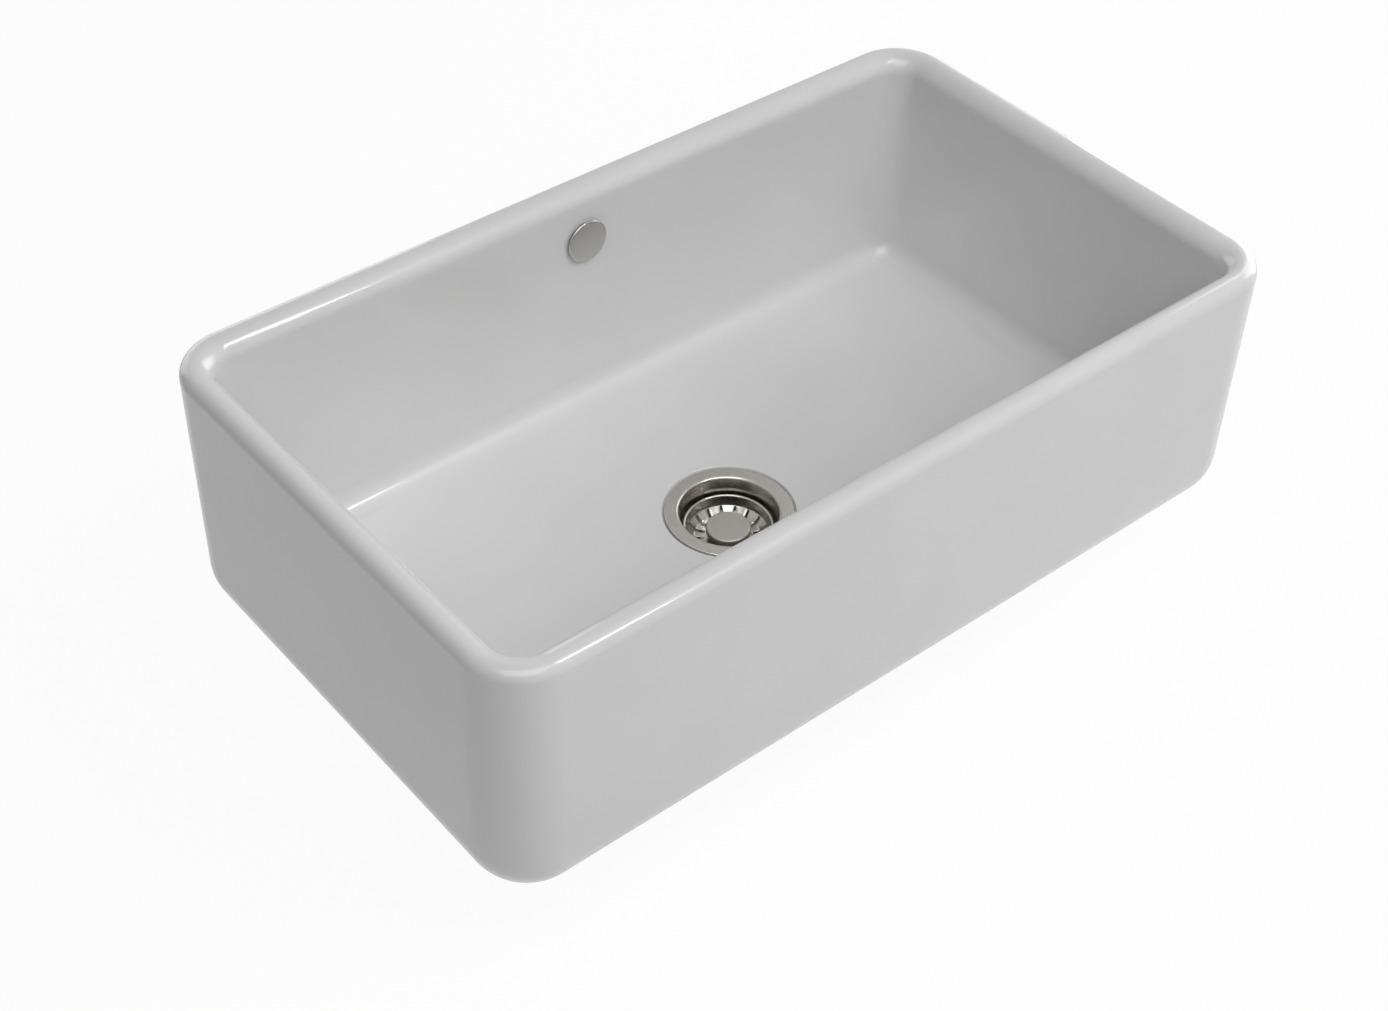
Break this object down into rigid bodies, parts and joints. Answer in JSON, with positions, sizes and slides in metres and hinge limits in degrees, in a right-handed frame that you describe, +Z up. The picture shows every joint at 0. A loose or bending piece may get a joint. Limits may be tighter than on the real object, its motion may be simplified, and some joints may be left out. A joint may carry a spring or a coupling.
{
  "type": "farmhouse apron front sink",
  "caption": "Rectangular fireclay sink with rolled rim and apron front, lift-out basket strainer waste in the floor and a round covered overflow in the back wall.",
  "frame": {"origin": "middle of the basin's flat underside, on the axis of the waste", "axes": "+Z up, +X along the long side, the apron faces -Y and the overflow is in the back wall at +Y"},
  "size_m": [0.795, 0.4885, 0.325],
  "materials": {
    "fireclay_glaze": "gloss",
    "strainer_steel": "satin",
    "knob_nickel": "satin",
    "cover_nickel": "polished",
    "insert_brass": "satin",
    "waste_plastic": "satin",
    "ring_nylon": "satin",
    "seal_rubber": "matte",
    "stopper_rubber": "matte"
  },
  "bodies": {
    "root": {"basin": "fireclay_glaze", "strainer_bowl": "strainer_steel", "flange_seal": "seal_rubber", "lower_gasket": "seal_rubber", "waste_body": "waste_plastic", "hub_insert": "insert_brass", "clamp_washer": "strainer_steel", "clamp_screw": "strainer_steel", "overflow_front_seal": "seal_rubber", "overflow_ring": "cover_nickel", "overflow_cover": "cover_nickel", "overflow_stud": "insert_brass", "overflow_rear_gasket": "seal_rubber", "overflow_elbow": "waste_plastic", "overflow_insert": "insert_brass"},
    "stopper": {"stopper_seal": "stopper_rubber", "stopper_plate": "strainer_steel"},
    "basket": {"basket_shell": "strainer_steel", "basket_knob": "knob_nickel", "basket_stem": "strainer_steel", "stem_ring": "ring_nylon", "stem_nut": "strainer_steel"}
  },
  "joints": [
    {"name": "basket_lift", "type": "slide", "parent": "root", "child": "stopper", "axis": [0, 0, 1], "range_m": [0, 0.06]},
    {"name": "basket_turn", "type": "hinge", "parent": "stopper", "child": "basket", "pos_m": [0, 0, -0.00475], "axis": [0, 0, 1], "continuous": true}
  ]
}
